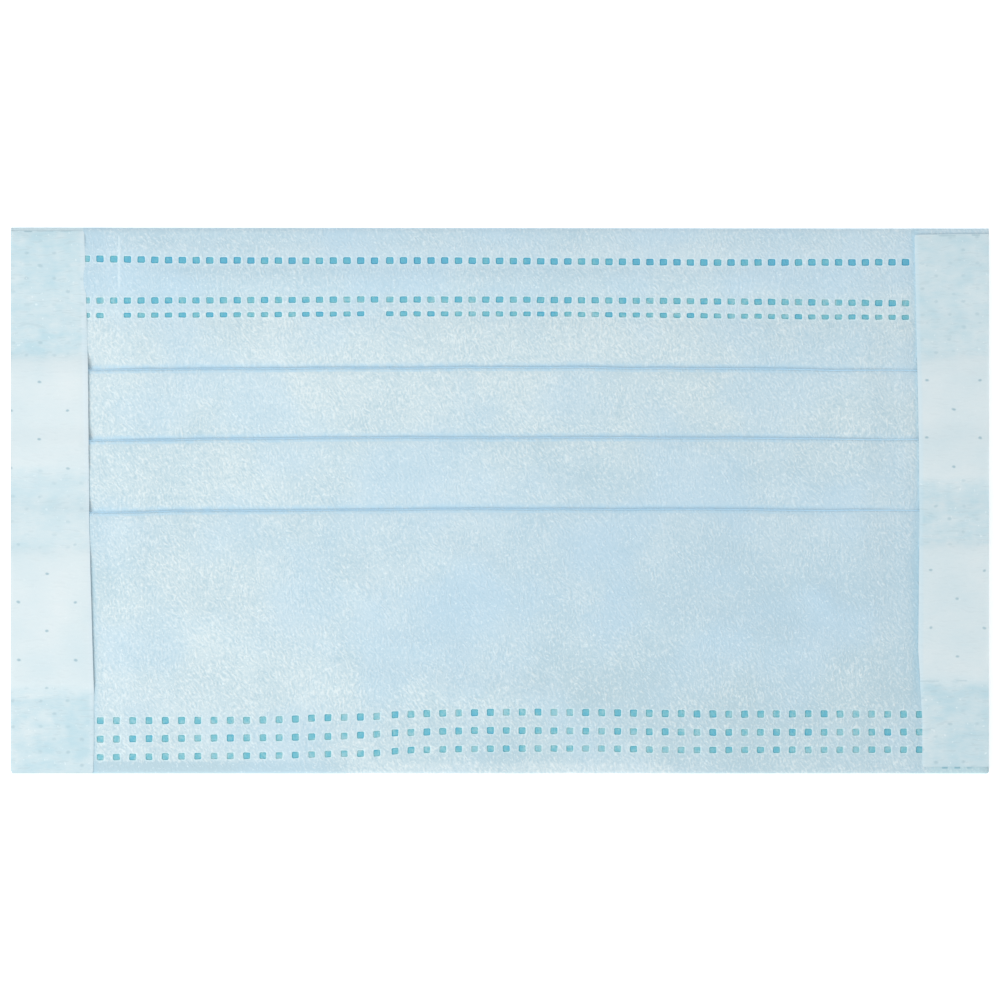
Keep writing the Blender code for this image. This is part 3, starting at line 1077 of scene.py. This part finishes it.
def shadow_dashes(spots, side, columns, rows):
    """The dark spots with the painted shadow dashes at a band's top end and along its creases."""
    for dash in SHADOW_DASHES[side]:
        within = columns.ease(dash["from"], dash["from"] + 2.0)
        within = within * (1.0 - columns.ease(dash["to"] - 2.0, dash["to"]))
        thin = 1.0 - (rows - dash["row"]).math("ABSOLUTE").ease(0.3, 1.1)
        spots = spots.at_least(dash["depth"] * within * thin)
    return spots


def tape_material(band):
    side = band["side"]
    made, shader, place = material(band["node"] + "_tape", 0.80)
    columns, rows = photo_place(place)
    off = looks_off(side, rows + 9.0 * (clouds(place, 120.0, 4.0 + side) - 0.5))
    laid = 1.0 - off
    waved = bent(place, 160.0, 0.0016)
    streak = strands(waved, 0.0, 0.0020, 0.00038, 3.0 + side)
    fine = strands(waved, 15.0, 0.0009, 0.00034, 6.0 + side)
    smear = strands(waved, 8.0, 0.0060, 0.0016, 9.0 + side) - 0.5
    blotch = clouds(place, 420.0, 5.0 + side) - 0.5
    patchy = clouds(place, 130.0, 2.0 + side) - 0.5
    # Along the inner edge the tape is tinted, lighter on the left band; on the right band it is darker,
    # painted shade for an edge that faces the lamp.
    along_edge = 1.0 - (side * (columns - inner_edge(side, rows))).ease(2.0, 5.5)
    tone = 0.30 + 0.42 * off + (0.6 + 0.3 * laid) * patchy + (0.2 + 0.3 * laid) * (streak - 0.5)
    tone = tone + laid * (0.5 * smear + 0.9 * blotch) + band["edge_tone"] * along_edge
    tape = tone.at_least(0.0).at_most(1.0).mix(rgb(184, 210, 219), rgb(218, 226, 228))
    tape = (0.35 * along_edge).mix(tape, rgb(206, 224, 234))
    wall = (side * (columns - PHOTO_MIDDLE_X)).ease(489.0, 489.3)
    spots = shadow_dashes(tape_bonds(place, side, columns, rows, off), side, columns, rows)
    spots = spots.at_least((0.08 + 0.16 * laid) * streak.ease(0.58, 0.70)) * (1.0 - wall)
    tape = spots.mix(tape, rgb(156, 184, 194))
    sparks = clouds(place, 1500.0, 6.0 + side).ease(0.66, 0.76)
    tape = ((0.16 + 0.32 * laid) * sparks).mix(tape, rgb(232, 243, 246))
    # Painted shade on the tape's outer wall, which faces the lamps.
    feed(shader, "Base Color", (band["wall_painted_shade"] * wall).mix(tape, rgb(150, 178, 188)))
    rough(shader, 0.6 * streak + 0.5 * fine, 0.00004)
    return made


for band in BANDS:
    low, high = BAND_ENDS[band["side"]]
    ends = (up(low), up(high))
    tops = panel_under(band["side"])
    lines = []
    for step in range(TAPE_ROWS + 1):
        y = ends[0] + (ends[1] - ends[0]) * step / TAPE_ROWS
        lines.append((y, tape_line(band, tops, y, ends)))
    wide = len(lines[0][1])
    deselect()
    bpy.ops.mesh.primitive_grid_add(x_subdivisions=wide - 1, y_subdivisions=TAPE_ROWS, size=1.0)
    tape = bpy.context.object
    tape.name = band["piece"]
    for vertex in tape.data.vertices:
        y, line = lines[vertex.index // wide]
        inward, height = line[vertex.index % wide]
        fray = noise.noise(Vector((inward * 900.0, y * 40.0, 2.0))) * 0.00005
        near = ease(1.0 - min(y - ends[0], ends[1] - y) / 0.0008)
        across_band = (inward - 0.074) / 0.0135
        slant = band["slant"] * PIXEL * across_band if y > 0.0 else 0.0
        vertex.co = (band["side"] * inward, y + near * (fray + slant), height)
    if band["side"] < 0:
        edit(tape)
        bpy.ops.mesh.select_all(action="SELECT")
        bpy.ops.mesh.flip_normals()
        bpy.ops.object.mode_set(mode="OBJECT")
    tape.data.materials.clear()
    tape.data.materials.append(tape_material(band))
    thicken(tape, TAPE, 0)
    tape.data.shade_smooth()
    tape.data.set_sharp_from_angle(angle=math.radians(60.0))
    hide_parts(band["node"])
    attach(tape, "root")
    laid_flat(tape_line(band, tops, 0.0, ends))
    ends[1] - ends[0]


# The nose wire.
# A flat strip of soft metal in white plastic, loose in the channel between the first two weld rows.
# The cloth covers it, and only the low ridge that it raises is seen.
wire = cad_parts["nose_wire"]
coated, shader, place = material("white_coated_wire", 0.45)
worn = clouds(place, 400.0, 1.0)
feed(shader, "Base Color", worn.mix(rgb(226, 228, 228), rgb(240, 241, 240)))
wire.data.materials.clear()
wire.data.materials.append(coated)
